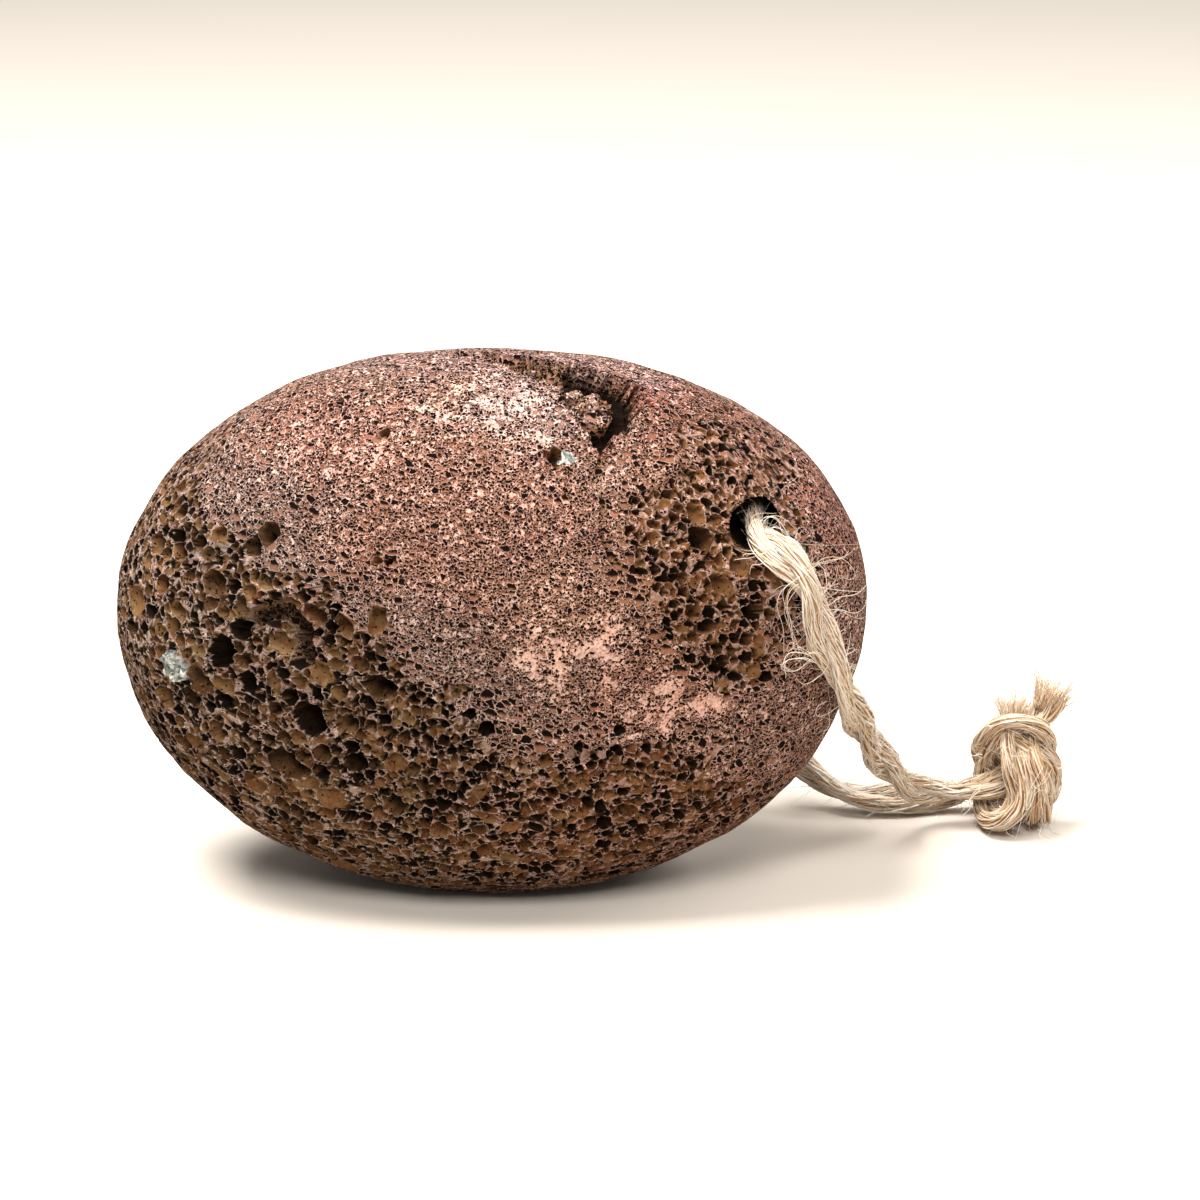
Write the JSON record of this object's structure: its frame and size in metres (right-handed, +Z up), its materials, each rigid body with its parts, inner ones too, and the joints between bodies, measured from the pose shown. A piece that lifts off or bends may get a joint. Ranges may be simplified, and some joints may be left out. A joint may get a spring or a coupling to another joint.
{
  "type": "pumice stone",
  "caption": "Rounded lava pumice stone for rubbing hard skin, drilled near one end and hung on a knotted loop of jute cord.",
  "frame": {"origin": "middle of the stone's footprint, on the surface that it stands on", "axes": "+X along the stone's length towards the drilled end, +Y from the broad front face to the back, +Z up across the stone's width"},
  "size_m": [0.1288, 0.0561, 0.0725],
  "materials": {
    "pumice": "rough, vesicular",
    "jute": "twisted natural fibre, matte"
  },
  "bodies": {
    "root": {"stone": "pumice", "cord": "jute", "knot": "jute"}
  },
  "joints": []
}
